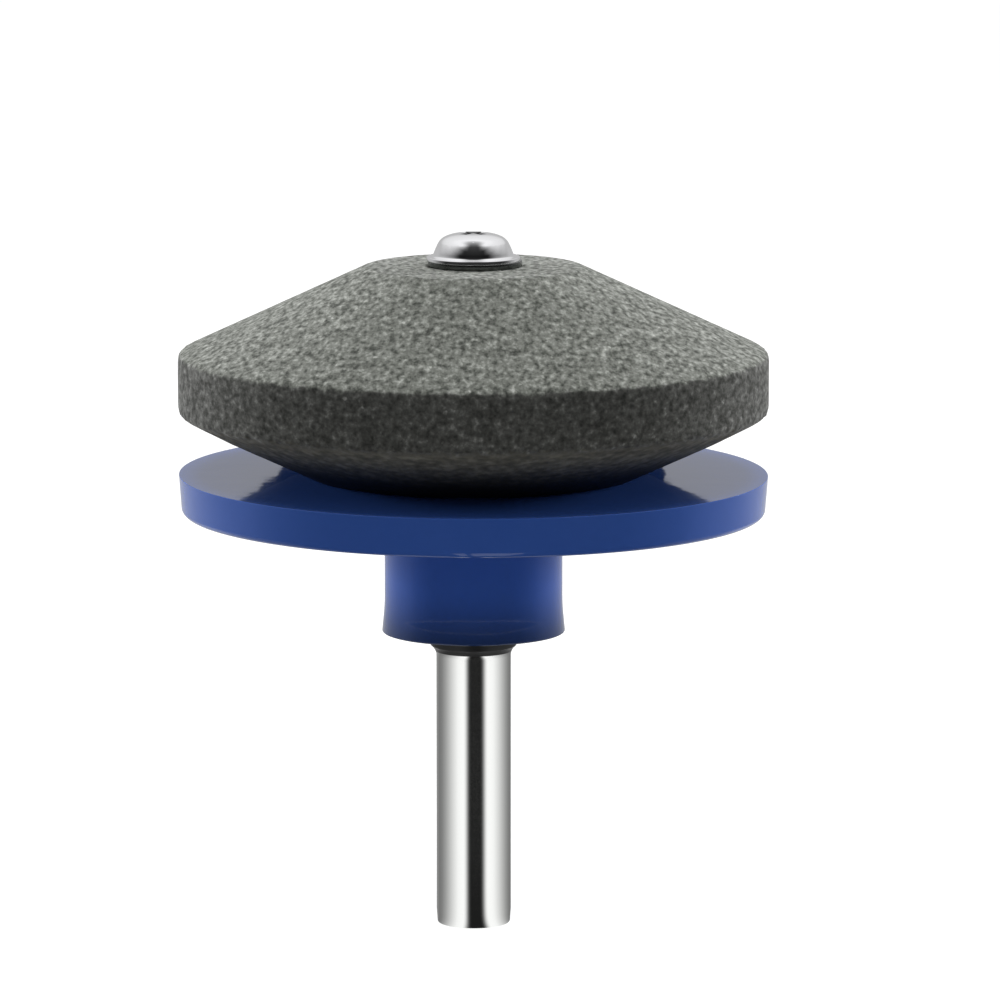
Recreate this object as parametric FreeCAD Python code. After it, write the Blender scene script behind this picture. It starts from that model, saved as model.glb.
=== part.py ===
import FreeCAD, Part
import math
import os

# Grinding bit for a drill: a double-bevelled stone over a plastic guide disc, clamped to a steel shank.
# Millimetres, +Z up the axis, origin at the centre of the shank's end face.

# Shank, with the collar that the disc is clamped against
SHANK_DIAMETER = 6.35
SHANK_LENGTH = 24.15
END_TAPER_LENGTH = 1.3
END_TAPER_DEPTH = 0.1
END_CHAMFER = 0.1
NECK_LENGTH = 0.35
NECK_ROUND = 1.0
COLLAR_STEP = 0.48
COLLAR_STANDOUT = 1.28
COLLAR_SEAT_DEPTH = 2.0

# Stud above the collar, which carries disc and stone and is tapped for the screw
STUD_RECESS = 0.4
TAPPED_RUNOUT = 2.9
DRILL_POINT_ANGLE = 118.0
MOUTH_CHAMFER = 0.35

# Guide disc and its hub, one plastic moulding
DISC_RIM_INSET = 0.06
DISC_THICKNESS = 3.3
DISC_DRAFT_ANGLE = 7.5
DISC_EDGE_CHAMFER = 0.2
HUB_DIAMETER = 15.12
HUB_LENGTH = 10.17
HUB_LIP_FLARE = 0.23
HUB_LIP_LENGTH = 2.2
HUB_EDGE_CHAMFER = 0.1
HUB_ROOT_CHAMFER = 0.35

# Stone
STONE_DIAMETER = 50.0
STONE_WALL_HEIGHT = 4.95
STONE_BEVEL_ANGLE = 25.0
TOP_BEVEL_HEIGHT = 7.4
LOWER_BEVEL_HEIGHT = 5.35
STONE_EDGE_CHAMFER = 0.25
STONE_SHOULDER_ROUND = 2.0

# Washer, which stands out a little under the screw's flange
WASHER_OVERHANG = 0.1
WASHER_THICKNESS = 0.5
WASHER_CHAMFER = 0.1

# Clamp screw: bell-shaped head on a thin flange
THREAD_DIAMETER = 4.0
SCREW_LENGTH = 12.0
SCREW_TIP_CHAMFER = 0.5
FLANGE_DIAMETER = 7.9
FLANGE_THICKNESS = 0.25
FLANGE_LEDGE = 0.41
HEAD_HEIGHT = 2.34
DOME_FOOT_FILLET = 0.46
DOME_WALL_LEAN = 23.5
DOME_SHOULDER_DROP = 0.52
DOME_SHOULDER_ROUND = 1.15
CROWN_DIAMETER = 3.56
CROWN_DROP = 0.1
CROWN_ROUND = 3.0

# Cross recess in the crown, narrowing towards its floor
RECESS_SPAN = 2.6
RECESS_WIDTH = 0.75
RECESS_DEPTH = 1.3
RECESS_FLOOR_SHARE = 0.45
RECESS_TURN = 45.0

# Radial clearances
BORE_CLEARANCE = 0.05
COLLAR_CLEARANCE = 0.05
THREAD_CLEARANCE = 0.03
WASHER_CLEARANCE = 0.15

# The most of one side that the roundings and chamfers at its two ends may use
CORNER_SHARE = 0.98

# Heights up the axis
HUB_BOTTOM = SHANK_LENGTH + COLLAR_STANDOUT
COLLAR_TOP = HUB_BOTTOM + COLLAR_SEAT_DEPTH
DISC_BOTTOM = HUB_BOTTOM + HUB_LENGTH
DISC_TOP = DISC_BOTTOM + DISC_THICKNESS
WALL_BOTTOM = DISC_TOP + LOWER_BEVEL_HEIGHT
WALL_TOP = WALL_BOTTOM + STONE_WALL_HEIGHT
STONE_TOP = WALL_TOP + TOP_BEVEL_HEIGHT
STUD_TOP = STONE_TOP - STUD_RECESS
WASHER_TOP = STONE_TOP + WASHER_THICKNESS
SCREW_TIP = WASHER_TOP - SCREW_LENGTH
TAPPED_BOTTOM = SCREW_TIP - TAPPED_RUNOUT

# Radii that seat on one another or line up
STONE_RADIUS = STONE_DIAMETER / 2
DISC_RADIUS = STONE_RADIUS - DISC_RIM_INSET
STUD_RADIUS = SHANK_DIAMETER / 2
BORE_RADIUS = STUD_RADIUS + BORE_CLEARANCE
COLLAR_RADIUS = STUD_RADIUS + COLLAR_STEP
THREAD_RADIUS = THREAD_DIAMETER / 2
TAPPED_RADIUS = THREAD_RADIUS + THREAD_CLEARANCE
FLANGE_RADIUS = FLANGE_DIAMETER / 2


def corner(radius, height, rounding=0.0, chamfer=0.0):
    """One corner of a half section, with the rounding or chamfer that it gets."""
    return FreeCAD.Vector(radius, 0, height), rounding, chamfer


def corner_point(corners, index):
    """The corner's point, counted round the closed outline."""
    return corners[index % len(corners)][0]


def half_angle(corners, index):
    """Half the angle between the two sides that meet at a corner."""
    point = corner_point(corners, index)
    back = corner_point(corners, index - 1) - point
    ahead = corner_point(corners, index + 1) - point
    return back.getAngle(ahead) / 2


def wanted_reach(corners, index):
    """How far a corner's rounding or chamfer would run along its two sides."""
    rounding, chamfer = corners[index % len(corners)][1:]
    return chamfer + rounding / math.tan(half_angle(corners, index))


def reach_on_sides(corners, index):
    """The reach, less where two corners crowd one side and share it in proportion."""
    wanted = wanted_reach(corners, index)
    point = corner_point(corners, index)
    reach = wanted
    for neighbour in (index - 1, index + 1):
        room = CORNER_SHARE * (corner_point(corners, neighbour) - point).Length
        crowd = wanted + wanted_reach(corners, neighbour)
        if crowd > room:
            reach = min(reach, wanted * room / crowd)
    return reach


def cut_corner(corners, index):
    """Where the sides end at a corner, and the edge between: an arc, a chamfer or none."""
    point, rounding, chamfer = corners[index]
    if rounding == 0 and chamfer == 0:
        return point, point, []
    back = (corner_point(corners, index - 1) - point).normalize()
    ahead = (corner_point(corners, index + 1) - point).normalize()
    reach = reach_on_sides(corners, index)
    start = point + back * reach
    end = point + ahead * reach
    if rounding == 0:
        return start, end, [Part.LineSegment(start, end).toShape()]
    opening = half_angle(corners, index)
    to_middle = reach * (1 - math.sin(opening)) / math.cos(opening)
    middle = point + (back + ahead).normalize() * to_middle
    return start, end, [Part.Arc(start, middle, end).toShape()]


def half_section(corners):
    """Closed wire round the corners."""
    cuts = [cut_corner(corners, index) for index in range(len(corners))]
    edges = []
    for index, (start, end, corner_edge) in enumerate(cuts):
        next_start = cuts[(index + 1) % len(cuts)][0]
        edges += corner_edge
        edges.append(Part.LineSegment(end, next_start).toShape())
    return Part.Wire(edges)


def turned(corners):
    """Solid of revolution about the tool's axis."""
    axis_point = FreeCAD.Vector(0, 0, 0)
    axis = FreeCAD.Vector(0, 0, 1)
    return Part.Face(half_section(corners)).revolve(axis_point, axis, 360)


def make_shank():
    """Ground rod with a lightly tapered end, a neck that flares to a collar, and a tapped stud."""
    drill_point = TAPPED_RADIUS / math.tan(math.radians(DRILL_POINT_ANGLE / 2))
    return turned([
        corner(0, 0),
        corner(STUD_RADIUS - END_TAPER_DEPTH, 0, chamfer=END_CHAMFER),
        corner(STUD_RADIUS, END_TAPER_LENGTH),
        corner(STUD_RADIUS, SHANK_LENGTH - NECK_LENGTH, rounding=NECK_ROUND),
        corner(COLLAR_RADIUS, SHANK_LENGTH),
        corner(COLLAR_RADIUS, COLLAR_TOP),
        corner(STUD_RADIUS, COLLAR_TOP),
        corner(STUD_RADIUS, STUD_TOP),
        corner(TAPPED_RADIUS, STUD_TOP, chamfer=MOUTH_CHAMFER),
        corner(TAPPED_RADIUS, TAPPED_BOTTOM),
        corner(0, TAPPED_BOTTOM - drill_point),
    ])


def make_guide_disc():
    """Moulded disc with a drafted rim, on a hub that flares to a thin lip round the collar's seat."""
    seat_radius = COLLAR_RADIUS + COLLAR_CLEARANCE
    hub_radius = HUB_DIAMETER / 2
    rim_draft = DISC_THICKNESS * math.tan(math.radians(DISC_DRAFT_ANGLE))
    return turned([
        corner(BORE_RADIUS, COLLAR_TOP),
        corner(seat_radius, COLLAR_TOP),
        corner(seat_radius, HUB_BOTTOM),
        corner(hub_radius + HUB_LIP_FLARE, HUB_BOTTOM, chamfer=HUB_EDGE_CHAMFER),
        corner(hub_radius, HUB_BOTTOM + HUB_LIP_LENGTH),
        corner(hub_radius, DISC_BOTTOM, chamfer=HUB_ROOT_CHAMFER),
        corner(DISC_RADIUS - rim_draft, DISC_BOTTOM, chamfer=DISC_EDGE_CHAMFER),
        corner(DISC_RADIUS, DISC_TOP, chamfer=DISC_EDGE_CHAMFER),
        corner(BORE_RADIUS, DISC_TOP),
    ])


def make_grinding_stone():
    """Stone with a straight wall between two bevels, which end in a flat above and below."""
    bevel_slope = math.tan(math.radians(STONE_BEVEL_ANGLE))
    top_flat_radius = STONE_RADIUS - TOP_BEVEL_HEIGHT / bevel_slope
    lower_flat_radius = STONE_RADIUS - LOWER_BEVEL_HEIGHT / bevel_slope
    return turned([
        corner(BORE_RADIUS, DISC_TOP),
        corner(lower_flat_radius, DISC_TOP),
        corner(STONE_RADIUS, WALL_BOTTOM, chamfer=STONE_EDGE_CHAMFER),
        corner(STONE_RADIUS, WALL_TOP, chamfer=STONE_EDGE_CHAMFER),
        corner(top_flat_radius, STONE_TOP, rounding=STONE_SHOULDER_ROUND),
        corner(BORE_RADIUS, STONE_TOP),
    ])


def make_washer():
    """Plain washer that covers the mouth of the stone's bore."""
    outer_radius = FLANGE_RADIUS + WASHER_OVERHANG
    inner_radius = THREAD_RADIUS + WASHER_CLEARANCE
    return turned([
        corner(inner_radius, STONE_TOP),
        corner(outer_radius, STONE_TOP),
        corner(outer_radius, WASHER_TOP, chamfer=WASHER_CHAMFER),
        corner(inner_radius, WASHER_TOP),
    ])


def slot_outline(span, width, height):
    """Closed rectangle centred on the axis."""
    x = span / 2
    y = width / 2
    loop = [(-x, -y), (x, -y), (x, y), (-x, y), (-x, -y)]
    return Part.makePolygon([FreeCAD.Vector(px, py, height) for px, py in loop])


def recess_slot(crown_height, angle):
    """One of the two slots that cross."""
    floor_span = RECESS_SPAN * RECESS_FLOOR_SHARE
    floor_width = RECESS_WIDTH * RECESS_FLOOR_SHARE
    mouth = slot_outline(RECESS_SPAN, RECESS_WIDTH, crown_height)
    floor = slot_outline(floor_span, floor_width, crown_height - RECESS_DEPTH)
    slot = Part.makeLoft([mouth, floor], True, True)
    slot.rotate(FreeCAD.Vector(0, 0, 0), FreeCAD.Vector(0, 0, 1), angle)
    return slot


def make_clamp_screw():
    """Screw whose bell-shaped head widens into a thin flange on the washer."""
    flange_top = WASHER_TOP + FLANGE_THICKNESS
    crown = WASHER_TOP + HEAD_HEIGHT
    shoulder = crown - DOME_SHOULDER_DROP
    foot_radius = FLANGE_RADIUS - FLANGE_LEDGE
    wall_run = (shoulder - flange_top) * math.tan(math.radians(DOME_WALL_LEAN))
    screw = turned([
        corner(0, SCREW_TIP),
        corner(THREAD_RADIUS, SCREW_TIP, chamfer=SCREW_TIP_CHAMFER),
        corner(THREAD_RADIUS, WASHER_TOP),
        corner(FLANGE_RADIUS, WASHER_TOP),
        corner(FLANGE_RADIUS, flange_top),
        corner(foot_radius, flange_top, rounding=DOME_FOOT_FILLET),
        corner(foot_radius - wall_run, shoulder, rounding=DOME_SHOULDER_ROUND),
        corner(CROWN_DIAMETER / 2, crown - CROWN_DROP, rounding=CROWN_ROUND),
        corner(0, crown),
    ])
    first_slot = recess_slot(crown, RECESS_TURN)
    second_slot = recess_slot(crown, RECESS_TURN + 90)
    return screw.cut(first_slot.fuse(second_slot))


def main():
    os.makedirs("parts", exist_ok=True)
    make_shank().exportStep("parts/shank.step")
    make_guide_disc().exportStep("parts/guide_disc.step")
    make_grinding_stone().exportStep("parts/grinding_stone.step")
    make_washer().exportStep("parts/washer.step")
    make_clamp_screw().exportStep("parts/clamp_screw.step")


main()
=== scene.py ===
import math

import bmesh
import bpy
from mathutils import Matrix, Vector


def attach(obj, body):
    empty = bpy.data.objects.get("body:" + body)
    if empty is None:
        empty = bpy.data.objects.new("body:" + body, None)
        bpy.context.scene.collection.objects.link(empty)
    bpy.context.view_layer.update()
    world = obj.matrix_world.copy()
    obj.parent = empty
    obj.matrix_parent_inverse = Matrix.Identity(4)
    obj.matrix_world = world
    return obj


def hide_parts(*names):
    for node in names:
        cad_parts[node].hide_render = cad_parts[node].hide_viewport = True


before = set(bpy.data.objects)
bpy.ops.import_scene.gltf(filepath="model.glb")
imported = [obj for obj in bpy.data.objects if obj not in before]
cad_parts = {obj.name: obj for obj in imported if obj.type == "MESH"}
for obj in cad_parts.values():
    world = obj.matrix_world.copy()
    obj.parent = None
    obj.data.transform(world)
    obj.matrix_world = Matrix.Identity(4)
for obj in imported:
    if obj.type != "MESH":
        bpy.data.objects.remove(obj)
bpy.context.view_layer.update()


# Camera
# A long lens from a little above the horizon, aimed a little right of the tool's middle and above
# it, so that the tool stands left and low in the picture, as in the photograph.
MM = 0.001
CAMERA_LENS = 254.1
CAMERA_SENSOR = 36.0
CAMERA_PLACE = Vector((0.0, -591.8, 128.78)) * MM
CAMERA_AIM = Vector((2.25, 1.05, 36.42)) * MM

camera_data = bpy.data.cameras.new("camera")
camera_data.lens = CAMERA_LENS
camera_data.sensor_width = CAMERA_SENSOR
camera_data.clip_start = 0.01
camera = bpy.data.objects.new("camera", camera_data)
camera.location = CAMERA_PLACE
camera.rotation_mode = "QUATERNION"
camera.rotation_quaternion = (CAMERA_AIM - CAMERA_PLACE).to_track_quat("-Z", "Y")
bpy.context.scene.collection.objects.link(camera)
bpy.context.scene.camera = camera
bpy.context.scene.view_settings.view_transform = "Standard"


# Shank
# Ground steel rod that goes in the chuck: a lightly tapered end, a neck that flares to the collar
# under the disc, and the stud that runs up through disc and stone and is tapped for the screw.
SHANK_RINGS = 192
SHANK_RADIUS = 3.175
SHANK_LENGTH = 24.15
END_TAPER_LENGTH = 1.3
END_TAPER_DEPTH = 0.1
END_ROUND = 0.12
NECK_LENGTH = 0.35
NECK_REACH = 0.51
GROUND_LENGTH = 23.65
COLLAR_RADIUS = 3.655
COLLAR_ROUND = 0.06
COLLAR_TOP = 27.43
STUD_TOP = 56.2
TAPPED_RADIUS = 2.03
TAPPED_BOTTOM = 42.2
DRILL_POINT_BOTTOM = 40.98
POINT_RADIUS = 0.05
SHARP_ANGLE = 30
NEAR = 0.02 * MM
WELD = 0.002 * MM


def start_ring(name, count, radius, height):
    """Puts a ring of edges about the axis, in edit mode, as the first corner of a turned piece."""
    bpy.ops.object.select_all(action="DESELECT")
    bpy.ops.mesh.primitive_circle_add(
        vertices=count, radius=radius * MM, location=(0, 0, height * MM)
    )
    piece = bpy.context.object
    piece.name = name
    piece.data.name = name
    bpy.ops.object.transform_apply(location=True, rotation=True, scale=True)
    bpy.ops.object.mode_set(mode="EDIT")
    bpy.ops.mesh.select_mode(type="EDGE")
    bpy.ops.mesh.select_all(action="SELECT")
    return piece


def draw_out(outline):
    """Extrudes the selected ring from corner to corner of a turned outline of radii and heights."""
    for (radius, height), (next_radius, next_height) in zip(outline, outline[1:]):
        lift = (0, 0, (next_height - height) * MM)
        bpy.ops.mesh.extrude_region_move(TRANSFORM_OT_translate={"value": lift})
        growth = next_radius / radius
        bpy.ops.transform.resize(value=(growth, growth, 1), center_override=(0, 0, 0))


def select_ring(radius, height):
    """Selects the ring of edges at one corner of a turned piece."""
    bpy.ops.mesh.select_all(action="DESELECT")
    bpy.ops.mesh.select_mode(type="EDGE")
    mesh = bmesh.from_edit_mesh(bpy.context.object.data)
    for edge in mesh.edges:
        edge.select = all(
            abs(math.hypot(vertex.co.x, vertex.co.y) - radius * MM) < NEAR
            and abs(vertex.co.z - height * MM) < NEAR
            for vertex in edge.verts
        )
    mesh.select_flush_mode()
    bmesh.update_edit_mesh(bpy.context.object.data)


def round_ring(radius, height, reach, steps):
    """Rounds the edge at one corner of a turned piece, as far as reach to each side."""
    select_ring(radius, height)
    bpy.ops.mesh.bevel(
        offset=reach * MM, offset_type="OFFSET", segments=steps, profile=0.5, affect="EDGES"
    )


def weld():
    """Merges the points that lie on each other, as where a closed outline meets its start."""
    bpy.ops.mesh.select_all(action="SELECT")
    bpy.ops.mesh.remove_doubles(threshold=WELD)


def close_and_shade(piece, sharp_angle):
    """Closes the piece, points its faces outwards and shades it smooth between its sharp edges."""
    weld()
    bpy.ops.mesh.select_all(action="SELECT")
    bpy.ops.mesh.normals_make_consistent(inside=False)
    bpy.ops.object.mode_set(mode="OBJECT")
    bpy.ops.object.select_all(action="DESELECT")
    piece.select_set(True)
    bpy.context.view_layer.objects.active = piece
    bpy.ops.object.shade_smooth_by_angle(angle=math.radians(sharp_angle))


def hold_flats(piece):
    """Lets the large faces lead the shading, so that flats stay flat up to their rounded edges."""
    weighing = piece.modifiers.new("flats", "WEIGHTED_NORMAL")
    weighing.weight = 100
    weighing.keep_sharp = True
    bpy.ops.object.modifier_apply(modifier="flats")


end_radius = SHANK_RADIUS - END_TAPER_DEPTH
neck_start = SHANK_LENGTH - NECK_LENGTH
shank = start_ring("ground_shank", SHANK_RINGS, end_radius, 0)
bpy.ops.mesh.edge_face_add()
select_ring(end_radius, 0)
draw_out([
    (end_radius, 0),
    (SHANK_RADIUS, END_TAPER_LENGTH),
    (SHANK_RADIUS, neck_start),
    (COLLAR_RADIUS, SHANK_LENGTH),
    (COLLAR_RADIUS, COLLAR_TOP),
    (SHANK_RADIUS, COLLAR_TOP),
    (SHANK_RADIUS, STUD_TOP),
    (TAPPED_RADIUS, STUD_TOP),
    (TAPPED_RADIUS, TAPPED_BOTTOM),
    (POINT_RADIUS, DRILL_POINT_BOTTOM),
])
bpy.ops.mesh.merge(type="CENTER")
round_ring(SHANK_RADIUS, neck_start, NECK_REACH, steps=12)
round_ring(COLLAR_RADIUS, SHANK_LENGTH, COLLAR_ROUND, steps=3)
round_ring(end_radius, 0, END_ROUND, steps=4)
close_and_shade(shank, SHARP_ANGLE)
hold_flats(shank)
for face in shank.data.polygons:
    face.material_index = int(face.center.z > GROUND_LENGTH * MM)


def linear(hex_colour):
    """An sRGB hex colour as the linear colour that a shader takes."""
    levels = [int(hex_colour[place:place + 2], 16) / 255 for place in (1, 3, 5)]
    return (*(v / 12.92 if v <= 0.04045 else ((v + 0.055) / 1.055) ** 2.4 for v in levels), 1.0)


def new_material(name):
    """An empty material, ready for the nodes of its finish."""
    material = bpy.data.materials.new(name)
    material.use_nodes = True
    material.node_tree.nodes.clear()
    return material


def add_node(material, kind, settings, links):
    """Adds one node to a material, sets its values and plugs in what feeds it."""
    node = material.node_tree.nodes.new(kind)
    for key, value in settings.items():
        if isinstance(key, str) and hasattr(node, key):
            setattr(node, key, value)
        else:
            node.inputs[key].default_value = value
    for key, source in links.items():
        material.node_tree.links.new(source, node.inputs[key])
    return node


# Bright ground steel: a mirror with very fine turns of grinding round the rod, which blur what it
# shows a little along its length. The turns are drawn coarser than a grinding wheel leaves them,
# so that they show.
GRINDING_TURN = 0.12
ROUND_THE_ROD = (0.02, 0.02, 1.0)
ground_steel = new_material("ground_steel")
place = add_node(ground_steel, "ShaderNodeTexCoord", {}, {})
turns = add_node(
    ground_steel,
    "ShaderNodeMapping",
    {"Scale": ROUND_THE_ROD},
    {"Vector": place.outputs["Object"]},
)
grinding = add_node(
    ground_steel,
    "ShaderNodeTexNoise",
    {"Scale": 1 / (GRINDING_TURN * MM), "Detail": 3.0, "Roughness": 0.6},
    {"Vector": turns.outputs["Vector"]},
)
grinding_depth = add_node(
    ground_steel,
    "ShaderNodeBump",
    {"Strength": 0.02, "Distance": 0.002 * MM},
    {"Height": grinding.outputs["Fac"]},
)
polish = add_node(
    ground_steel,
    "ShaderNodeMapRange",
    {"From Min": 0.3, "From Max": 0.7, "To Min": 0.06, "To Max": 0.1},
    {"Value": grinding.outputs["Fac"]},
)
steel = add_node(
    ground_steel,
    "ShaderNodeBsdfPrincipled",
    {"Base Color": linear("#fafbf9"), "Metallic": 1.0},
    {"Roughness": polish.outputs["Result"], "Normal": grinding_depth.outputs["Normal"]},
)
add_node(ground_steel, "ShaderNodeOutputMaterial", {}, {"Surface": steel.outputs["BSDF"]})
shank.data.materials.append(ground_steel)

# Turned steel on neck, collar and stud, in painted shade: dark and dull beside the ground rod, as
# the neck mirrors the shaded underside of the hub. The lathe's coarser turns show, and a sheen
# brightens its edges in place of their reflections.
LATHE_TURN = 0.2
shaded_turned_steel = new_material("shaded_turned_steel")
place = add_node(shaded_turned_steel, "ShaderNodeTexCoord", {}, {})
turns = add_node(
    shaded_turned_steel,
    "ShaderNodeMapping",
    {"Scale": ROUND_THE_ROD},
    {"Vector": place.outputs["Object"]},
)
lathe_marks = add_node(
    shaded_turned_steel,
    "ShaderNodeTexNoise",
    {"Scale": 1 / (LATHE_TURN * MM), "Detail": 2.0},
    {"Vector": turns.outputs["Vector"]},
)
mark_depth = add_node(
    shaded_turned_steel,
    "ShaderNodeBump",
    {"Strength": 0.3, "Distance": 0.01 * MM},
    {"Height": lathe_marks.outputs["Fac"]},
)
# Painted shade: a dark, dull colour for the shaded hub underside that the neck mirrors.
steel = add_node(
    shaded_turned_steel,
    "ShaderNodeBsdfPrincipled",
    {
        "Base Color": linear("#1a1b1b"),
        "Roughness": 0.5,
        "Sheen Weight": 0.6,
        "Sheen Roughness": 0.3,
    },
    {"Normal": mark_depth.outputs["Normal"]},
)
add_node(shaded_turned_steel, "ShaderNodeOutputMaterial", {}, {"Surface": steel.outputs["BSDF"]})
shank.data.materials.append(shaded_turned_steel)
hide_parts("shank")
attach(shank, "root")


# Guide disc
# Blue plastic disc and hub in one moulding, pressed down on the collar. Its rim is drafted and
# stands a little out of true from cooling, and its skin is glossy and faintly wavy.
DISC_RINGS = 256
BORE_RADIUS = 3.225
SEAT_RADIUS = 3.705
HUB_RADIUS = 7.56
HUB_LIP_RADIUS = 7.79
HUB_BOTTOM = 25.35
HUB_LIP_TOP = 27.63
HUB_LIP_EASE = 0.8
HUB_ROOT_FILLET = 0.5
HUB_EDGE_ROUND = 0.14
DISC_BOTTOM = 35.6
DISC_TOP = 38.9
DISC_TOP_RADIUS = 24.97
DISC_LOWER_RADIUS = 24.72
DISC_TOP_ROUND = 0.06
DISC_LOWER_ROUND = 0.45
DISC_SEAT_RADIUS = 13.6
RIM_START = 14.6
RIM_TILT = -0.25

guide_disc = start_ring("moulded_guide_disc", DISC_RINGS, BORE_RADIUS, COLLAR_TOP)
draw_out([
    (BORE_RADIUS, COLLAR_TOP),
    (SEAT_RADIUS, COLLAR_TOP),
    (SEAT_RADIUS, HUB_BOTTOM),
    (HUB_LIP_RADIUS, HUB_BOTTOM),
    (HUB_RADIUS, HUB_LIP_TOP),
    (HUB_RADIUS, DISC_BOTTOM),
    (DISC_LOWER_RADIUS, DISC_BOTTOM),
    (DISC_TOP_RADIUS, DISC_TOP),
    (DISC_SEAT_RADIUS, DISC_TOP),
    (BORE_RADIUS, DISC_TOP),
    (BORE_RADIUS, COLLAR_TOP),
])
weld()
round_ring(HUB_LIP_RADIUS, HUB_BOTTOM, HUB_EDGE_ROUND, steps=4)
round_ring(HUB_RADIUS, HUB_LIP_TOP, HUB_LIP_EASE, steps=4)
round_ring(HUB_RADIUS, DISC_BOTTOM, HUB_ROOT_FILLET, steps=6)
round_ring(DISC_LOWER_RADIUS, DISC_BOTTOM, DISC_LOWER_ROUND, steps=8)
round_ring(DISC_TOP_RADIUS, DISC_TOP, DISC_TOP_ROUND, steps=5)
bpy.ops.mesh.select_all(action="DESELECT")
bpy.ops.mesh.select_mode(type="VERT")
rim_mesh = bmesh.from_edit_mesh(guide_disc.data)
for vertex in rim_mesh.verts:
    vertex.select = math.hypot(vertex.co.x, vertex.co.y) > RIM_START * MM
rim_mesh.select_flush_mode()
bmesh.update_edit_mesh(guide_disc.data)
bpy.ops.transform.rotate(
    value=math.radians(RIM_TILT),
    orient_axis="Y",
    center_override=(0, 0, (DISC_BOTTOM + DISC_TOP) / 2 * MM),
)
close_and_shade(guide_disc, SHARP_ANGLE)
hold_flats(guide_disc)

# Blue ABS from a polished mould: a deep, even colour under a clear gloss, with the slow waves of
# shrinkage that make the edges of reflections wander. Painted shade darkens the hub towards its
# foot.
SHRINKAGE_WAVE = 5.0
HUB_SHADE_START = HUB_BOTTOM - 1.25
HUB_SHADE_END = HUB_BOTTOM + 5.0
blue_abs = new_material("moulded_blue_abs")
place = add_node(blue_abs, "ShaderNodeTexCoord", {}, {})
waves = add_node(
    blue_abs,
    "ShaderNodeTexNoise",
    {"Scale": 1 / (SHRINKAGE_WAVE * MM), "Detail": 2.0, "Roughness": 0.5},
    {"Vector": place.outputs["Object"]},
)
skin = add_node(
    blue_abs,
    "ShaderNodeBump",
    {"Strength": 0.3, "Distance": 0.05 * MM},
    {"Height": waves.outputs["Fac"]},
)
pigment = add_node(
    blue_abs,
    "ShaderNodeMix",
    {"data_type": "RGBA", 6: linear("#3c64bc"), 7: linear("#446ac2")},
    {"Factor": waves.outputs["Fac"]},
)
height = add_node(blue_abs, "ShaderNodeSeparateXYZ", {}, {"Vector": place.outputs["Object"]})
unshaded = add_node(
    blue_abs,
    "ShaderNodeMapRange",
    {
        "interpolation_type": "SMOOTHSTEP",
        "From Min": HUB_SHADE_START * MM,
        "From Max": HUB_SHADE_END * MM,
    },
    {"Value": height.outputs["Z"]},
)
# Painted shade: the blue turns to a dull navy towards the hub's foot.
foot_shaded = add_node(
    blue_abs,
    "ShaderNodeMix",
    {"data_type": "RGBA", 6: linear("#2a3b60")},
    {"Factor": unshaded.outputs["Result"], 7: pigment.outputs[2]},
)
plastic = add_node(
    blue_abs,
    "ShaderNodeBsdfPrincipled",
    {"Roughness": 0.05, "IOR": 1.5},
    {"Base Color": foot_shaded.outputs[2], "Normal": skin.outputs["Normal"]},
)
add_node(blue_abs, "ShaderNodeOutputMaterial", {}, {"Surface": plastic.outputs["BSDF"]})
guide_disc.data.materials.append(blue_abs)
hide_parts("guide_disc")
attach(guide_disc, "root")


# Grinding stone
# Silicon carbide grit in a fired clay bond, pressed to shape with two bevels. The grit stands out
# of the surface, and the edges between wall and bevels have crumbled a little.
STONE_RINGS = 700
STONE_RADIUS = 25.0
WALL_BOTTOM = 44.25
WALL_TOP = 49.2
STONE_TOP = 56.6
TOP_FLAT_RADIUS = 9.13
LOWER_FLAT_RADIUS = 14.0
BELLY_RADIUS = 21.3
BELLY = 42.32
STONE_EDGE_ROUND = 0.14
SHOULDER_REACH = 0.22
WASHER_REACH = 4.2
CRUMB = 0.7
CRUMB_DEPTH = 0.26
FACE_WEAR = 0.1
CORNER_FIND = 0.05


def cut_band(first, second, cuts):
    """Divides one band of a turned piece, between two corners of its outline, into finer rings."""
    bpy.ops.mesh.select_all(action="DESELECT")
    mesh = bmesh.from_edit_mesh(bpy.context.object.data)
    for edge in mesh.edges:
        spots = [
            (math.hypot(vertex.co.x, vertex.co.y) / MM, vertex.co.z / MM) for vertex in edge.verts
        ]
        edge.select = all(
            any(math.dist(spot, corner) < CORNER_FIND for spot in spots)
            for corner in (first, second)
        )
    mesh.select_flush_mode()
    bmesh.update_edit_mesh(bpy.context.object.data)
    bpy.ops.mesh.subdivide(number_cuts=cuts)


stone = start_ring("pressed_stone", STONE_RINGS, BORE_RADIUS, DISC_TOP)
draw_out([
    (BORE_RADIUS, DISC_TOP),
    (LOWER_FLAT_RADIUS, DISC_TOP),
    (BELLY_RADIUS, BELLY),
    (STONE_RADIUS, WALL_BOTTOM),
    (STONE_RADIUS, WALL_TOP),
    (TOP_FLAT_RADIUS, STONE_TOP),
    (WASHER_REACH, STONE_TOP),
    (BORE_RADIUS, STONE_TOP),
    (BORE_RADIUS, DISC_TOP),
])
weld()
wall_foot = (STONE_RADIUS, WALL_BOTTOM)
wall_head = (STONE_RADIUS, WALL_TOP)
cut_band((LOWER_FLAT_RADIUS, DISC_TOP), (BELLY_RADIUS, BELLY), cuts=22)
cut_band((BELLY_RADIUS, BELLY), wall_foot, cuts=14)
cut_band(wall_foot, wall_head, cuts=15)
cut_band(wall_head, (TOP_FLAT_RADIUS, STONE_TOP), cuts=50)
cut_band((TOP_FLAT_RADIUS, STONE_TOP), (WASHER_REACH, STONE_TOP), cuts=10)
round_ring(*wall_foot, STONE_EDGE_ROUND, steps=3)
round_ring(*wall_head, STONE_EDGE_ROUND, steps=3)
round_ring(TOP_FLAT_RADIUS, STONE_TOP, SHOULDER_REACH, steps=3)
close_and_shade(stone, 180)

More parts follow.
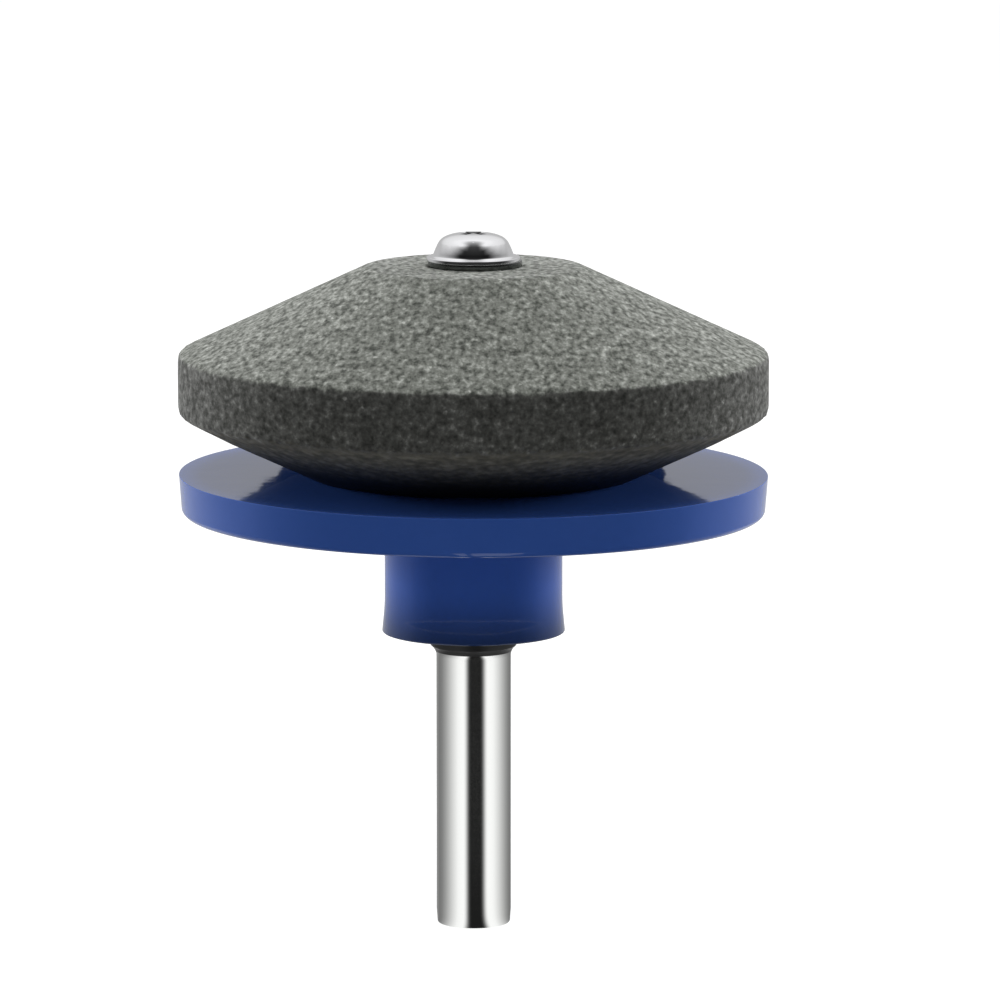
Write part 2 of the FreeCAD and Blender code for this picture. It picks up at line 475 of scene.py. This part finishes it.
# The edges between wall and bevels crumble, the faces wear a little, and the seats stay flat.
wear_group = stone.vertex_groups.new(name="wear")
for vertex in stone.data.vertices:
    spot = (math.hypot(vertex.co.x, vertex.co.y) / MM, vertex.co.z / MM)
    to_edge = min(math.dist(spot, edge) for edge in (wall_foot, wall_head))
    seated = spot[0] < WASHER_REACH or vertex.co.z < DISC_TOP * MM + NEAR / 2
    wear_group.add([vertex.index], 0 if seated else max(FACE_WEAR, 1 - to_edge / CRUMB), "REPLACE")
crumbs = bpy.data.textures.new("crumbs", "CLOUDS")
crumbs.noise_scale = CRUMB * MM
crumbs.noise_depth = 2
crumbling = stone.modifiers.new("crumbling", "DISPLACE")
crumbling.texture = crumbs
crumbling.texture_coords = "LOCAL"
crumbling.mid_level = 0.0
crumbling.strength = -CRUMB_DEPTH * MM
crumbling.vertex_group = "wear"
bpy.ops.object.modifier_apply(modifier="crumbling")

# Fired silicon carbide: grey grains of many shades with dark pits between them, drawn coarser than
# the grit so that they show. The cone is paler and the wall darker, and the lower bevel is smoother
# and browner, with painted shade that blackens it towards the disc, where the two meet. Pale
# dust on the high grains shows at a flat look.
GRIT_PITCH = 0.5
GRIT_LIE = 0.65
FACET_PITCH = 0.25
PATCH_PITCH = 0.85
RAGGED_EDGE = 0.9
WALL_TONE_END = WALL_TOP + 0.25
CONE_START = WALL_TOP + 0.5
WALL_TONE_START = WALL_BOTTOM + 0.6
BEVEL_END = WALL_BOTTOM + 0.1
# Painted shade on the lower bevel: full up to the first height, gone by the second.
CONTACT_SHADE_FULL = DISC_TOP + 0.8
CONTACT_SHADE_END = DISC_TOP + 4.0
PALE_DUST_START = WALL_BOTTOM - 0.5
PALE_DUST_FULL = WALL_BOTTOM + 0.3
fired_grit = new_material("fired_silicon_carbide")
place = add_node(fired_grit, "ShaderNodeTexCoord", {}, {})
lie = add_node(
    fired_grit,
    "ShaderNodeMapping",
    {"Scale": (1.0, GRIT_LIE, 1.0)},
    {"Vector": place.outputs["Object"]},
)
grains = add_node(
    fired_grit,
    "ShaderNodeTexNoise",
    {"Scale": 1 / (GRIT_PITCH * MM), "Detail": 2.0, "Roughness": 0.6},
    {"Vector": lie.outputs["Vector"]},
)
patches = add_node(
    fired_grit,
    "ShaderNodeTexNoise",
    {"Scale": 1 / (PATCH_PITCH * MM), "Detail": 2.0},
    {"Vector": place.outputs["Object"]},
)
facets = add_node(
    fired_grit,
    "ShaderNodeTexVoronoi",
    {"Scale": 1 / (FACET_PITCH * MM)},
    {"Vector": place.outputs["Object"]},
)
facet_chance = add_node(
    fired_grit, "ShaderNodeSeparateColor", {}, {"Color": facets.outputs["Color"]}
)
bright_facet = add_node(
    fired_grit,
    "ShaderNodeMapRange",
    {"From Min": 0.975, "From Max": 1.0, "To Max": 0.16},
    {"Value": facet_chance.outputs["Red"]},
)
shade = add_node(
    fired_grit,
    "ShaderNodeMath",
    {"operation": "ADD"},
    {0: grains.outputs["Fac"], 1: bright_facet.outputs["Result"]},
)


def toned_ramp(material, source, stops):
    """Turns a level into a colour by a ramp of stops, each a place and a linear colour."""
    ramp = add_node(material, "ShaderNodeValToRGB", {}, {"Fac": source})
    elements = ramp.color_ramp.elements
    elements.remove(elements[1])
    for spot, colour in stops:
        elements.new(spot).color = colour
    elements.remove(elements[0])
    return ramp


# The cone's tones are paler than the wall's, and the lower bevel's are browner and patchy.
cone_tones = toned_ramp(
    fired_grit,
    shade.outputs["Value"],
    [
        (0.2, linear("#20221d")),
        (0.36, linear("#50534d")),
        (0.48, linear("#72756e")),
        (0.58, linear("#868982")),
        (0.72, linear("#b0b3ac")),
        (0.88, linear("#d9dbd5")),
    ],
)
wall_tones = toned_ramp(
    fired_grit,
    shade.outputs["Value"],
    [
        (0.2, linear("#1e1f1c")),
        (0.38, linear("#40413d")),
        (0.5, linear("#50514d")),
        (0.62, linear("#61625e")),
        (0.78, linear("#8d8e8a")),
        (0.9, linear("#b8b9b5")),
    ],
)
bevel_tones = toned_ramp(
    fired_grit,
    patches.outputs["Fac"],
    [(0.25, linear("#565345")), (0.5, linear("#726f60")), (0.75, linear("#95917f"))],
)
height = add_node(fired_grit, "ShaderNodeSeparateXYZ", {}, {"Vector": place.outputs["Object"]})
clear_of_disc = add_node(
    fired_grit,
    "ShaderNodeMapRange",
    {
        "interpolation_type": "SMOOTHSTEP",
        "From Min": CONTACT_SHADE_FULL * MM,
        "From Max": CONTACT_SHADE_END * MM,
    },
    {"Value": height.outputs["Z"]},
)
# Painted shade: the bevel's colour turns near black towards the disc it sits on.
contact_shaded = add_node(
    fired_grit,
    "ShaderNodeMix",
    {"data_type": "RGBA", 6: linear("#1b1c1f")},
    {"Factor": clear_of_disc.outputs["Result"], 7: bevel_tones.outputs["Color"]},
)
ragged = add_node(
    fired_grit,
    "ShaderNodeMath",
    {"operation": "MULTIPLY_ADD", 1: RAGGED_EDGE * MM},
    {0: patches.outputs["Fac"], 2: height.outputs["Z"]},
)
on_cone = add_node(
    fired_grit,
    "ShaderNodeMapRange",
    {"From Min": WALL_TONE_END * MM, "From Max": CONE_START * MM},
    {"Value": ragged.outputs["Value"]},
)
on_bevel = add_node(
    fired_grit,
    "ShaderNodeMapRange",
    {"From Min": WALL_TONE_START * MM, "From Max": BEVEL_END * MM},
    {"Value": ragged.outputs["Value"]},
)
above_bevel = add_node(
    fired_grit,
    "ShaderNodeMix",
    {"data_type": "RGBA"},
    {"Factor": on_cone.outputs["Result"], 6: wall_tones.outputs["Color"], 7: cone_tones.outputs["Color"]},
)
grain_colour = add_node(
    fired_grit,
    "ShaderNodeMix",
    {"data_type": "RGBA"},
    {"Factor": on_bevel.outputs["Result"], 6: above_bevel.outputs[2], 7: contact_shaded.outputs[2]},
)
grain_relief = add_node(
    fired_grit,
    "ShaderNodeBump",
    {"Strength": 0.5, "Distance": 0.1 * MM},
    {"Height": grains.outputs["Fac"]},
)
dust_on_grains = add_node(
    fired_grit,
    "ShaderNodeMapRange",
    {"From Min": 0.38, "From Max": 0.66, "To Min": 0.11, "To Max": 0.34},
    {"Value": shade.outputs["Value"]},
)
dust = add_node(
    fired_grit,
    "ShaderNodeMapRange",
    {"From Min": PALE_DUST_START * MM, "From Max": PALE_DUST_FULL * MM},
    {"Value": height.outputs["Z"], "To Max": dust_on_grains.outputs["Result"]},
)
grit = add_node(
    fired_grit,
    "ShaderNodeBsdfPrincipled",
    {"Roughness": 0.85, "Sheen Roughness": 0.5},
    {
        "Base Color": grain_colour.outputs[2],
        "Normal": grain_relief.outputs["Normal"],
        "Sheen Weight": dust.outputs["Result"],
    },
)
add_node(fired_grit, "ShaderNodeOutputMaterial", {}, {"Surface": grit.outputs["BSDF"]})
stone.data.materials.append(fired_grit)
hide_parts("grinding_stone")
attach(stone, "root")


# Washer
# Thin steel washer stamped from sheet, which covers the mouth of the stone's bore. It lies off
# centre, nearly as far as its loose hole lets it.
WASHER_RINGS = 160
WASHER_INNER = 2.15
WASHER_OUTER = 3.99
WASHER_TOP = 57.1
WASHER_TOP_ROUND = 0.04
WASHER_LOWER_ROUND = 0.05
WASHER_SHIFT = 0.13

washer = start_ring("stamped_washer", WASHER_RINGS, WASHER_INNER, STONE_TOP)
draw_out([
    (WASHER_INNER, STONE_TOP),
    (WASHER_OUTER, STONE_TOP),
    (WASHER_OUTER, WASHER_TOP),
    (WASHER_INNER, WASHER_TOP),
    (WASHER_INNER, STONE_TOP),
])
weld()
round_ring(WASHER_OUTER, WASHER_TOP, WASHER_TOP_ROUND, steps=3)
round_ring(WASHER_OUTER, STONE_TOP, WASHER_LOWER_ROUND, steps=2)
bpy.ops.mesh.select_all(action="SELECT")
bpy.ops.transform.translate(value=(WASHER_SHIFT * MM, 0, 0))
close_and_shade(washer, SHARP_ANGLE)
hold_flats(washer)

# Zinc plate over stamped steel: a soft, slightly cloudy shine.
CLOUD_PITCH = 0.5
plated_steel = new_material("zinc_plated_steel")
place = add_node(plated_steel, "ShaderNodeTexCoord", {}, {})
clouds = add_node(
    plated_steel,
    "ShaderNodeTexNoise",
    {"Scale": 1 / (CLOUD_PITCH * MM), "Detail": 4.0},
    {"Vector": place.outputs["Object"]},
)
cloudy_shine = add_node(
    plated_steel,
    "ShaderNodeMapRange",
    {"From Min": 0.3, "From Max": 0.7, "To Min": 0.16, "To Max": 0.3},
    {"Value": clouds.outputs["Fac"]},
)
zinc = add_node(
    plated_steel,
    "ShaderNodeBsdfPrincipled",
    {"Base Color": linear("#666867"), "Metallic": 1.0},
    {"Roughness": cloudy_shine.outputs["Result"]},
)
add_node(plated_steel, "ShaderNodeOutputMaterial", {}, {"Surface": zinc.outputs["BSDF"]})
washer.data.materials.append(plated_steel)
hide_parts("washer")
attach(washer, "root")


# Clamp screw
# Chromed steel screw with a bell-shaped head on a thin flange and a cross recess. It runs down
# into the tapped stud and holds the stack together.
SCREW_RINGS = 192
THREAD_RADIUS = 2.0
TIP_CHAMFER = 0.5
SCREW_TIP = 45.1
FLANGE_RADIUS = 3.95
FLANGE_TOP = 57.4
FLANGE_ROUND = 0.06
DOME_FOOT_RADIUS = 3.46
DOME_FOOT_FILLET = 0.2
DOME_BELLY_RADIUS = 3.19
DOME_BELLY = 58.15
DOME_BELLY_ROUND = 0.42
DOME_SHOULDER_RADIUS = 2.78
DOME_SHOULDER = 58.92
DOME_SHOULDER_ROUND = 0.4
CROWN_RADIUS = 1.78
CROWN_EDGE = 59.34
CROWN_EDGE_ROUND = 0.5
CROWN = 59.44
RECESS_SPAN = 2.6
RECESS_WIDTH = 0.75
RECESS_DEPTH = 1.3
RECESS_FLOOR_SHARE = 0.45
RECESS_TURN = 45

screw = start_ring("chromed_clamp_screw", SCREW_RINGS, THREAD_RADIUS - TIP_CHAMFER, SCREW_TIP)
bpy.ops.mesh.edge_face_add()
select_ring(THREAD_RADIUS - TIP_CHAMFER, SCREW_TIP)
draw_out([
    (THREAD_RADIUS - TIP_CHAMFER, SCREW_TIP),
    (THREAD_RADIUS, SCREW_TIP + TIP_CHAMFER),
    (THREAD_RADIUS, WASHER_TOP),
    (FLANGE_RADIUS, WASHER_TOP),
    (FLANGE_RADIUS, FLANGE_TOP),
    (DOME_FOOT_RADIUS, FLANGE_TOP),
    (DOME_BELLY_RADIUS, DOME_BELLY),
    (DOME_SHOULDER_RADIUS, DOME_SHOULDER),
    (CROWN_RADIUS, CROWN_EDGE),
    (POINT_RADIUS, CROWN),
])
bpy.ops.mesh.merge(type="CENTER")
round_ring(DOME_FOOT_RADIUS, FLANGE_TOP, DOME_FOOT_FILLET, steps=10)
round_ring(DOME_BELLY_RADIUS, DOME_BELLY, DOME_BELLY_ROUND, steps=10)
round_ring(DOME_SHOULDER_RADIUS, DOME_SHOULDER, DOME_SHOULDER_ROUND, steps=10)
round_ring(CROWN_RADIUS, CROWN_EDGE, CROWN_EDGE_ROUND, steps=6)
round_ring(FLANGE_RADIUS, FLANGE_TOP, FLANGE_ROUND, steps=3)
close_and_shade(screw, SHARP_ANGLE)


def recess_cutter(turn):
    """One tapered bar of the cross, from the crown's height down to the recess floor."""
    bpy.ops.object.select_all(action="DESELECT")
    bpy.ops.mesh.primitive_cube_add(size=1, location=(0, 0, (CROWN - RECESS_DEPTH / 2) * MM))
    bar = bpy.context.object
    bar.scale = (RECESS_SPAN * MM, RECESS_WIDTH * MM, RECESS_DEPTH * MM)
    bpy.ops.object.transform_apply(location=True, rotation=True, scale=True)
    bpy.ops.object.mode_set(mode="EDIT")
    bpy.ops.mesh.select_mode(type="FACE")
    bpy.ops.mesh.select_all(action="DESELECT")
    mesh = bmesh.from_edit_mesh(bar.data)
    for face in mesh.faces:
        face.select = face.normal.z < -0.9
    bmesh.update_edit_mesh(bar.data)
    bpy.ops.transform.resize(
        value=(RECESS_FLOOR_SHARE, RECESS_FLOOR_SHARE, 1), center_override=(0, 0, 0)
    )
    bpy.ops.mesh.select_all(action="SELECT")
    bpy.ops.transform.rotate(value=math.radians(turn), orient_axis="Z", center_override=(0, 0, 0))
    bpy.ops.object.mode_set(mode="OBJECT")
    return bar


for turn in (RECESS_TURN, RECESS_TURN + 90):
    bar = recess_cutter(turn)
    bpy.ops.object.select_all(action="DESELECT")
    screw.select_set(True)
    bpy.context.view_layer.objects.active = screw
    cut = screw.modifiers.new("recess", "BOOLEAN")
    cut.operation = "DIFFERENCE"
    cut.object = bar
    bpy.ops.object.modifier_apply(modifier="recess")
    bpy.data.objects.remove(bar)
bpy.ops.object.shade_smooth_by_angle(angle=math.radians(SHARP_ANGLE))
hold_flats(screw)

# Bright chrome over polished steel: nearly a mirror, with the faint orange-peel of the plating.
PEEL_PITCH = 0.6
chrome = new_material("bright_chrome_plate")
place = add_node(chrome, "ShaderNodeTexCoord", {}, {})
peel = add_node(
    chrome,
    "ShaderNodeTexNoise",
    {"Scale": 1 / (PEEL_PITCH * MM), "Detail": 3.0},
    {"Vector": place.outputs["Object"]},
)
peel_depth = add_node(
    chrome,
    "ShaderNodeBump",
    {"Strength": 0.3, "Distance": 0.01 * MM},
    {"Height": peel.outputs["Fac"]},
)
plate = add_node(
    chrome,
    "ShaderNodeBsdfPrincipled",
    {"Base Color": linear("#f6f6f8"), "Metallic": 1.0, "Roughness": 0.06},
    {"Normal": peel_depth.outputs["Normal"]},
)
add_node(chrome, "ShaderNodeOutputMaterial", {}, {"Surface": plate.outputs["BSDF"]})
screw.data.materials.append(chrome)
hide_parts("clamp_screw")
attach(screw, "root")


# Floor, white surround and lamps
# A pale floor that keeps the tool's shadow, a surround that camera, metal and plastic see white,
# a soft lamp overhead, one behind each side and a weak low one in front.
FLOOR_SIZE = 3.0
FLOOR_GLOW = 0.93
SURROUND_FILL = 0.3


def seen_only(material):
    """1 where camera, glossy or transmitted rays look, 0 for the light that falls on things."""
    rays = add_node(material, "ShaderNodeLightPath", {}, {})
    seen_or_glossy = add_node(
        material,
        "ShaderNodeMath",
        {"operation": "MAXIMUM"},
        {0: rays.outputs["Is Camera Ray"], 1: rays.outputs["Is Glossy Ray"]},
    )
    return add_node(
        material,
        "ShaderNodeMath",
        {"operation": "MAXIMUM"},
        {0: seen_or_glossy.outputs["Value"], 1: rays.outputs["Is Transmission Ray"]},
    ).outputs["Value"]


bpy.ops.object.select_all(action="DESELECT")
bpy.ops.mesh.primitive_plane_add(size=FLOOR_SIZE, location=(0, 0, 0))
floor = bpy.context.object
floor.name = "floor"
pale_floor = new_material("pale_floor")
glow_level = add_node(
    pale_floor,
    "ShaderNodeMath",
    {"operation": "MULTIPLY", 1: FLOOR_GLOW},
    {0: seen_only(pale_floor)},
)
glow = add_node(pale_floor, "ShaderNodeEmission", {}, {"Strength": glow_level.outputs["Value"]})
paint = add_node(pale_floor, "ShaderNodeBsdfDiffuse", {"Color": linear("#8f8f8f")}, {})
both = add_node(
    pale_floor,
    "ShaderNodeAddShader",
    {},
    {0: glow.outputs["Emission"], 1: paint.outputs["BSDF"]},
)
add_node(pale_floor, "ShaderNodeOutputMaterial", {}, {"Surface": both.outputs["Shader"]})
floor.data.materials.append(pale_floor)

surround = bpy.data.worlds.new("surround")
surround.use_nodes = True
surround.node_tree.nodes.clear()
bpy.context.scene.world = surround
level = add_node(
    surround,
    "ShaderNodeMapRange",
    {"To Min": SURROUND_FILL, "To Max": 1.0},
    {"Value": seen_only(surround)},
)
white = add_node(surround, "ShaderNodeBackground", {}, {"Strength": level.outputs["Result"]})
add_node(surround, "ShaderNodeOutputWorld", {}, {"Surface": white.outputs["Background"]})


def soft_lamp(name, place, aim_height, width, height, power):
    """A soft lamp, aimed at the axis, that lights tool and floor but isn't mirrored in them."""
    lamp_data = bpy.data.lights.new(name, "AREA")
    lamp_data.shape = "RECTANGLE"
    lamp_data.size = width * MM
    lamp_data.size_y = height * MM
    lamp_data.energy = power
    lamp = bpy.data.objects.new(name, lamp_data)
    lamp.location = Vector(place) * MM
    lamp.rotation_mode = "QUATERNION"
    to_tool = Vector((0, 0, aim_height)) - Vector(place)
    lamp.rotation_quaternion = to_tool.to_track_quat("-Z", "Y")
    lamp.visible_camera = False
    lamp.visible_glossy = False
    bpy.context.scene.collection.objects.link(lamp)


soft_lamp("overhead_lamp", (0, 80, 650), aim_height=45, width=450, height=450, power=2.7)
soft_lamp("left_side_lamp", (-250, 140, 85), aim_height=42, width=120, height=60, power=0.6)
soft_lamp("right_side_lamp", (250, 140, 85), aim_height=42, width=120, height=60, power=0.6)
soft_lamp("front_low_lamp", (0, -400, 30), aim_height=36, width=300, height=40, power=0.12)


# Cards
# Cards that only the gloss of metal and plastic sees, as they stand round a product in a studio:
# a low collar round the shank, tones laid on the floor, and a tent over all with a dark front.
# Each stop of a tone is a direction, in degrees from the front, and the grey that lies there.
CARD_LIGHT = 1.05
CARD_STEPS = 96
CARD_LIFT = 0.05
COLLAR_CARD_RADIUS = 20.0
COLLAR_CARD_TOP = 21.0
COLLAR_CARD_TURN = 4.7
LEFT_STRETCH = 1.08
FOOT_CARD_RADIUS = 3.2
RIM_CARD_RADIUS = 135.0
HEAD_CARD_RADIUS = 400.0
SHANK_TONES = [
    (0, 0.012), (14, 0.012), (19, 0.035), (24, 0.17), (28.5, 0.45), (33, 0.75),
    (38.5, 0.95), (48.5, 0.95), (59, 0.90), (70, 0.765), (82, 0.62), (95.5, 0.465),
    (111, 0.32), (130, 0.21), (150, 0.17), (180, 0.3),
]
RIM_TONES = [(0, 0.0), (70, 0.03), (88, 0.4), (112, 0.55), (131, 1.0), (156, 0.7), (180, 0.6)]
HUB_TONES = [(0, 0.0), (60, 0.02), (84, 0.12), (101, 0.3), (136, 0.5), (153, 0.55), (180, 0.55)]
HEAD_TONES = [(0, 0.04), (60, 0.06), (84, 0.12), (101, 0.3), (136, 0.5), (180, 0.55)]


def only_in_reflections(card):
    """Hides a card from all but glossy rays and keeps it apart from the object."""
    card.visible_camera = False
    card.visible_diffuse = False
    card.visible_shadow = False
    card.visible_transmission = False


def toned_card(name, outline, tones, turn, rod_radius):
    """A turned card toned by the direction in which a rod at its middle mirrors each place."""
    card = start_ring(name, CARD_STEPS, *outline[0])
    draw_out(outline)
    bpy.ops.object.mode_set(mode="OBJECT")
    tone = new_material(name)
    place = add_node(tone, "ShaderNodeTexCoord", {}, {})
    turned = add_node(
        tone,
        "ShaderNodeVectorRotate",
        {"rotation_type": "Z_AXIS", "Angle": -math.radians(turn)},
        {"Vector": place.outputs["Object"]},
    )
    axes = add_node(tone, "ShaderNodeSeparateXYZ", {}, {"Vector": turned.outputs["Vector"]})
    forward = add_node(
        tone, "ShaderNodeMath", {"operation": "MULTIPLY", 1: -1.0}, {0: axes.outputs["Y"]}
    )
    to_right = add_node(
        tone,
        "ShaderNodeMath",
        {"operation": "ARCTAN2"},
        {0: axes.outputs["X"], 1: forward.outputs["Value"]},
    )
    to_left = add_node(
        tone,
        "ShaderNodeMath",
        {"operation": "MULTIPLY", 1: -LEFT_STRETCH},
        {0: to_right.outputs["Value"]},
    )
    bearing = add_node(
        tone,
        "ShaderNodeMath",
        {"operation": "MAXIMUM"},
        {0: to_right.outputs["Value"], 1: to_left.outputs["Value"]},
    )
    half_bearing = add_node(
        tone, "ShaderNodeMath", {"operation": "MULTIPLY", 1: 0.5}, {0: bearing.outputs["Value"]}
    )
    offset = add_node(
        tone, "ShaderNodeMath", {"operation": "SINE"}, {0: half_bearing.outputs["Value"]}
    )
    level = add_node(
        tone,
        "ShaderNodeVectorMath",
        {"operation": "MULTIPLY", 1: (1 / (rod_radius * MM), 1 / (rod_radius * MM), 0)},
        {0: turned.outputs["Vector"]},
    )
    reach = add_node(
        tone, "ShaderNodeVectorMath", {"operation": "LENGTH"}, {0: level.outputs["Vector"]}
    )
    slant = add_node(
        tone,
        "ShaderNodeMath",
        {"operation": "DIVIDE"},
        {0: offset.outputs["Value"], 1: reach.outputs["Value"]},
    )
    parallax = add_node(
        tone, "ShaderNodeMath", {"operation": "ARCSINE"}, {0: slant.outputs["Value"]}
    )
    mirrored = add_node(
        tone,
        "ShaderNodeMath",
        {"operation": "ADD"},
        {0: bearing.outputs["Value"], 1: parallax.outputs["Value"]},
    )
    span = add_node(
        tone, "ShaderNodeMapRange", {"From Max": math.pi}, {"Value": mirrored.outputs["Value"]}
    )
    greys = [(degrees / 180, (grey, grey, grey, 1)) for degrees, grey in tones]
    ramp = toned_ramp(tone, span.outputs["Result"], greys)
    glow = add_node(
        tone, "ShaderNodeEmission", {"Strength": CARD_LIGHT}, {"Color": ramp.outputs["Color"]}
    )
    add_node(tone, "ShaderNodeOutputMaterial", {}, {"Surface": glow.outputs["Emission"]})
    card.data.materials.append(tone)
    only_in_reflections(card)


# The tent's rows, from the floor up: the row's rise in degrees, the cloth's tone, half the width of
# the dark front, the width of its soft edge, and how dark it is.
TENT_RADIUS = 500.0
TENT_CENTRE = 58.0
TENT_SWAY = 2.0
TENT_ROWS = [
    (-6.5, 0.50, 72, 60, 0.94), (5, 0.50, 72, 60, 0.94), (16, 0.52, 62, 75, 0.97),
    (24, 0.72, 51, 80, 0.98), (32, 0.80, 42, 62, 0.99), (40, 0.84, 31, 54, 0.97),
    (48, 0.87, 15, 44, 0.94), (58, 0.95, 12, 46, 0.89), (66, 0.97, 14, 60, 0.87),
    (73, 0.85, 10, 100, 0.77), (80, 0.60, 0, 150, 0.6), (88, 0.45, 0, 180, 0.2),
]
tent_foot = TENT_RADIUS * math.cos(math.radians(TENT_ROWS[0][0]))
foot_card = [(FOOT_CARD_RADIUS, CARD_LIFT), (COLLAR_CARD_RADIUS, CARD_LIFT)]
toned_card("foot_card", foot_card, SHANK_TONES, COLLAR_CARD_TURN, SHANK_RADIUS)
collar_card = [(COLLAR_CARD_RADIUS, CARD_LIFT), (COLLAR_CARD_RADIUS, COLLAR_CARD_TOP)]
toned_card("collar_card", collar_card, SHANK_TONES, COLLAR_CARD_TURN, SHANK_RADIUS)
rim_card = [(COLLAR_CARD_RADIUS, CARD_LIFT), (RIM_CARD_RADIUS, CARD_LIFT)]
toned_card("rim_card", rim_card, RIM_TONES, 0, HUB_RADIUS)
hub_card = [(RIM_CARD_RADIUS, CARD_LIFT), (HEAD_CARD_RADIUS, CARD_LIFT)]
toned_card("hub_card", hub_card, HUB_TONES, 0, HUB_RADIUS)
head_card = [(HEAD_CARD_RADIUS, CARD_LIFT), (tent_foot, CARD_LIFT)]
toned_card("head_card", head_card, HEAD_TONES, 0, HUB_RADIUS)


def tent_tone(bearing, cloth, half, fringe, depth):
    """The tent's tone at a bearing: the cloth's, but dark in front, with a soft edge to it."""
    lit = min(max((abs(bearing - TENT_SWAY) - half) / fringe, 0), 1)
    return cloth * (1 - depth * (1 - lit * lit * (3 - 2 * lit)))


def hung_sheet(name, corners, faces):
    """A sheet from its corners, in millimetres, and its faces."""
    mesh = bpy.data.meshes.new(name)
    mesh.from_pydata([(x * MM, y * MM, z * MM) for x, y, z in corners], [], faces)
    sheet = bpy.data.objects.new(name, mesh)
    bpy.context.scene.collection.objects.link(sheet)
    return sheet


tent_points = []
tent_levels = []
for rise, *row in TENT_ROWS:
    for step in range(CARD_STEPS):
        bearing = 360 * step / CARD_STEPS - 180
        reach = TENT_RADIUS * math.cos(math.radians(rise))
        tent_points.append((
            reach * math.sin(math.radians(bearing)),
            -reach * math.cos(math.radians(bearing)),
            TENT_CENTRE + TENT_RADIUS * math.sin(math.radians(rise)),
        ))
        tent_levels.append(tent_tone(bearing, *row))
tent_faces = []
for row in range(len(TENT_ROWS) - 1):
    for step in range(CARD_STEPS):
        here = row * CARD_STEPS + step
        beside = row * CARD_STEPS + (step + 1) % CARD_STEPS
        tent_faces.append((here, beside, beside + CARD_STEPS, here + CARD_STEPS))
tent = hung_sheet("tent", tent_points, tent_faces)
tone = tent.data.attributes.new("tone", "FLOAT", "POINT")
tone.data.foreach_set("value", tent_levels)
tent_cloth = new_material("tent_cloth")
shaded = add_node(tent_cloth, "ShaderNodeAttribute", {"attribute_name": "tone"}, {})
cloth = add_node(tent_cloth, "ShaderNodeEmission", {}, {"Strength": shaded.outputs["Fac"]})
add_node(tent_cloth, "ShaderNodeOutputMaterial", {}, {"Surface": cloth.outputs["Emission"]})
tent.data.materials.append(tent_cloth)
only_in_reflections(tent)

# A black velvet flag close behind the tool ends the white that the disc's top mirrors on each
# side. Its uneven ends give the white its uneven edges.
FLAG_PLACE = 31.0
FLAG_OUTLINE = [
    (-13.5, 40.6), (-16.2, 42.9), (-16.9, 43.1), (-17.6, 44.0), (-18.6, 44.4),
    (-19.2, 45.1), (-21.5, 46.4), (20.0, 46.4), (18.1, 45.2), (17.8, 44.6),
    (17.0, 44.2), (17.3, 43.6), (16.8, 42.8), (14.4, 40.6),
]
flag_corners = [(x, FLAG_PLACE, z) for x, z in FLAG_OUTLINE]
flag = hung_sheet("black_flag", flag_corners, [range(len(flag_corners))])
flag_cloth = new_material("flag_cloth")
velvet = add_node(flag_cloth, "ShaderNodeBsdfDiffuse", {"Color": linear("#0c0c0c")}, {})
add_node(flag_cloth, "ShaderNodeOutputMaterial", {}, {"Surface": velvet.outputs["BSDF"]})
flag.data.materials.append(flag_cloth)
only_in_reflections(flag)

# Two strips of light on the floor in front, of which the rounding of the disc's lower edge makes
# its broken highlight. Each is given by its span at the near end and its span at the far end.
STRIP_LIFT = 0.1
STRIP_NEAR = -30.0
STRIP_FAR = -110.0
STRIP_SPANS = [((-2.6, -0.9), (-14.0, -6.5)), ((0.0, 6.4), (-2.5, 36.0))]
STRIP_LIGHT = 1.2
strip_corners = []
for near, far in STRIP_SPANS:
    strip_corners += [(x, STRIP_NEAR, STRIP_LIFT) for x in near]
    strip_corners += [(x, STRIP_FAR, STRIP_LIFT) for x in reversed(far)]
strips = hung_sheet("edge_light", strip_corners, [(0, 1, 2, 3), (4, 5, 6, 7)])
strip_cloth = new_material("edge_light")
strip_glow = add_node(strip_cloth, "ShaderNodeEmission", {"Strength": STRIP_LIGHT}, {})
add_node(strip_cloth, "ShaderNodeOutputMaterial", {}, {"Surface": strip_glow.outputs["Emission"]})
strips.data.materials.append(strip_cloth)
only_in_reflections(strips)
